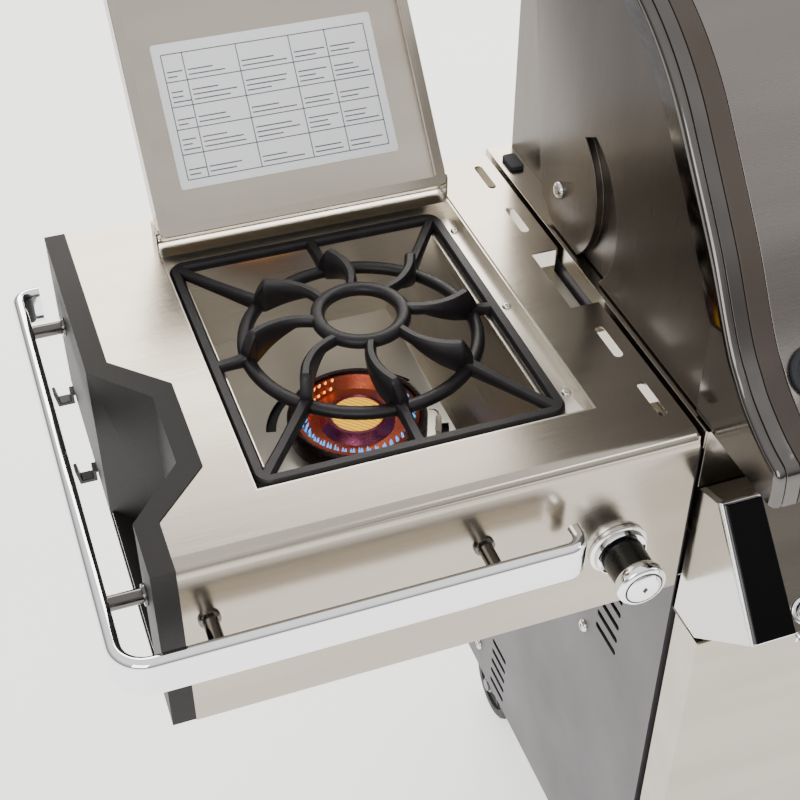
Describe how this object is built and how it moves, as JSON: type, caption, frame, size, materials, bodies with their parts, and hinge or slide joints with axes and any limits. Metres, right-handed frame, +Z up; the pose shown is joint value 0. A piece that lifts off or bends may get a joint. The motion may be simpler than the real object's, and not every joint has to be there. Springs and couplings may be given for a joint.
{
  "type": "gas barbecue grill",
  "caption": "Free-standing gas barbecue with roll-back hood, cabinet on casters, and side shelves; the left shelf holds a side burner under a hinged lid.",
  "frame": {"origin": "centre of the part's bounding box at floor level, at rest with the hood shut, doors shut and burner lid open", "axes": "+X to the right of someone facing the control panel, along the grill's longest side; +Y from the control panel to the back; +Z up"},
  "size_m": [1.728, 0.7182, 1.159],
  "materials": {
    "body_steel": "satin powder coat on the cabinet's sheet steel",
    "firebox_steel": "heat-resistant matt enamel",
    "brushed_stainless": "brushed stainless sheet",
    "dark_stainless": "heat-tinted brushed stainless",
    "trim_stainless": "satin stainless",
    "burner_steel": "raw stainless tube and plate",
    "cast_iron": "matt black cast iron",
    "rack_wire": "plated steel wire",
    "brass": "machined brass and copper tube",
    "bright_chrome": "polished chrome plate",
    "inset_black": "gloss black",
    "cap_plastic": "fine-textured charcoal moulding",
    "hook_steel": "black powder coat",
    "zinc_steel": "zinc-plated sheet",
    "hot_bowl": "heat-blued stainless",
    "hot_copper": "heat-reddened port ring",
    "ceramic": "unglazed ceramic",
    "electrode": "glazed ceramic and wire",
    "fastener_steel": "plated screws and pins",
    "rubber_black": "moulded rubber",
    "label_film": "printed label film with ruled lines",
    "knob_black": "satin black knob",
    "gauge_red": "red enamel pointer",
    "caster_steel": "zinc-plated pressed steel",
    "caster_rubber": "moulded rubber wheel"
  },
  "bodies": {
    "cart": {"base_panel": "body_steel", "side_panels": "body_steel", "back_panel": "body_steel", "front_frame": "body_steel", "firebox": "firebox_steel", "shoulder_frame": "brushed_stainless", "rear_shell": "dark_stainless", "hood_pivot_ears": "zinc_steel", "main_burners": "burner_steel", "sear_plates": "burner_steel", "cooking_grids": "cast_iron", "warming_rack": "rack_wire", "gas_manifold": "brass", "control_panel": "brushed_stainless", "panel_ends": "bright_chrome", "panel_insets": "inset_black", "knob_bezels": "bright_chrome", "hood_bumpers": "rubber_black", "shelf_left": "brushed_stainless", "shelf_right": "brushed_stainless", "shelf_caps": "cap_plastic", "shelf_end_plates": "trim_stainless", "shelf_rails": "bright_chrome", "rail_posts": "bright_chrome", "tool_hooks": "hook_steel", "shelf_brackets": "zinc_steel", "burner_box": "brushed_stainless", "burner_bowl": "hot_bowl", "burner_core": "hot_copper", "burner_ceramic": "ceramic", "igniter_electrode": "electrode", "fasteners": "fastener_steel"},
    "hood": {"hood_skin": "brushed_stainless", "hood_ends": "dark_stainless", "hood_trims": "trim_stainless", "hood_handle": "bright_chrome", "thermometer_case": "bright_chrome"},
    "gauge_needle": {"thermometer_needle": "gauge_red"},
    "burner_lid": {"side_lid": "brushed_stainless", "lid_label": "label_film"},
    "pan_grate": {"side_grate": "cast_iron"},
    "main_knob_1": {"knob_1": "knob_black"},
    "main_knob_2": {"knob_2": "knob_black"},
    "main_knob_3": {"knob_3": "knob_black"},
    "main_knob_4": {"knob_4": "knob_black"},
    "burner_knob": {"side_knob": "knob_black"},
    "spark_button": {"igniter_button": "bright_chrome"},
    "left_door": {"door_left": "brushed_stainless", "door_handle_left": "bright_chrome"},
    "right_door": {"door_right": "brushed_stainless", "door_handle_right": "bright_chrome"},
    "tray": {"drip_tray": "burner_steel"},
    "fork_1": {"caster_fork_1": "caster_steel"},
    "wheel_1": {"caster_wheel_1": "caster_rubber"},
    "fork_2": {"caster_fork_2": "caster_steel"},
    "wheel_2": {"caster_wheel_2": "caster_rubber"},
    "fork_3": {"caster_fork_3": "caster_steel"},
    "wheel_3": {"caster_wheel_3": "caster_rubber"},
    "fork_4": {"caster_fork_4": "caster_steel"},
    "wheel_4": {"caster_wheel_4": "caster_rubber"}
  },
  "joints": [
    {"name": "hood_hinge", "type": "hinge", "parent": "cart", "child": "hood", "pos_m": [0, 0.04031, 0.906], "axis": [-1, 0, 0], "range_deg": [0, 75.5]},
    {"name": "gauge_turn", "type": "hinge", "parent": "hood", "child": "gauge_needle", "pos_m": [0, -0.20769, 1.006], "axis": [0, 0.7593, -0.6508], "range_deg": [0, 240], "stiffness_Nm_per_rad": 0.0004},
    {"name": "burner_lid_hinge", "type": "hinge", "parent": "cart", "child": "burner_lid", "pos_m": [-0.5935, 0.13901, 0.875], "axis": [-1, 0, 0], "range_deg": [-130, 0]},
    {"name": "grate_lift", "type": "slide", "parent": "cart", "child": "pan_grate", "axis": [0, 0, 1], "range_m": [0, 0.08]},
    {"name": "main_valve_1", "type": "hinge", "parent": "cart", "child": "main_knob_1", "pos_m": [-0.225, -0.3139, 0.76576], "axis": [0, -0.7593, 0.6508], "range_deg": [0, 225]},
    {"name": "main_valve_2", "type": "hinge", "parent": "cart", "child": "main_knob_2", "pos_m": [-0.075, -0.3139, 0.76576], "axis": [0, -0.7593, 0.6508], "range_deg": [0, 225]},
    {"name": "main_valve_3", "type": "hinge", "parent": "cart", "child": "main_knob_3", "pos_m": [0.075, -0.3139, 0.76576], "axis": [0, -0.7593, 0.6508], "range_deg": [0, 225]},
    {"name": "main_valve_4", "type": "hinge", "parent": "cart", "child": "main_knob_4", "pos_m": [0.225, -0.3139, 0.76576], "axis": [0, -0.7593, 0.6508], "range_deg": [0, 225]},
    {"name": "side_valve", "type": "hinge", "parent": "cart", "child": "burner_knob", "pos_m": [-0.455, -0.24769, 0.759], "axis": [0, -1, 0], "range_deg": [0, 225]},
    {"name": "spark_press", "type": "slide", "parent": "cart", "child": "spark_button", "axis": [0, 0.7593, -0.6508], "range_m": [0, 0.003], "stiffness_N_per_m": 400},
    {"name": "left_door_hinge", "type": "hinge", "parent": "cart", "child": "left_door", "pos_m": [-0.377, -0.25769, 0.4], "axis": [0, 0, -1], "range_deg": [0, 100]},
    {"name": "right_door_hinge", "type": "hinge", "parent": "cart", "child": "right_door", "pos_m": [0.377, -0.25769, 0.4], "axis": [0, 0, 1], "range_deg": [0, 100]},
    {"name": "tray_slide", "type": "slide", "parent": "cart", "child": "tray", "axis": [0, 1, 0], "range_m": [0, 0.28]},
    {"name": "caster_swivel_1", "type": "hinge", "parent": "cart", "child": "fork_1", "pos_m": [-0.345, -0.20269, 0.125], "axis": [0, 0, 1], "continuous": true},
    {"name": "wheel_spin_1", "type": "hinge", "parent": "fork_1", "child": "wheel_1", "pos_m": [-0.317, -0.20269, 0.05], "axis": [0, 1, 0], "continuous": true},
    {"name": "caster_swivel_2", "type": "hinge", "parent": "cart", "child": "fork_2", "pos_m": [0.345, -0.20269, 0.125], "axis": [0, 0, 1], "continuous": true},
    {"name": "wheel_spin_2", "type": "hinge", "parent": "fork_2", "child": "wheel_2", "pos_m": [0.317, -0.20269, 0.05], "axis": [0, 1, 0], "continuous": true},
    {"name": "caster_swivel_3", "type": "hinge", "parent": "cart", "child": "fork_3", "pos_m": [-0.345, 0.13731, 0.125], "axis": [0, 0, 1], "continuous": true},
    {"name": "wheel_spin_3", "type": "hinge", "parent": "fork_3", "child": "wheel_3", "pos_m": [-0.345, 0.16531, 0.05], "axis": [1, 0, 0], "continuous": true},
    {"name": "caster_swivel_4", "type": "hinge", "parent": "cart", "child": "fork_4", "pos_m": [0.345, 0.13731, 0.125], "axis": [0, 0, 1], "continuous": true},
    {"name": "wheel_spin_4", "type": "hinge", "parent": "fork_4", "child": "wheel_4", "pos_m": [0.345, 0.16531, 0.05], "axis": [1, 0, 0], "continuous": true}
  ]
}
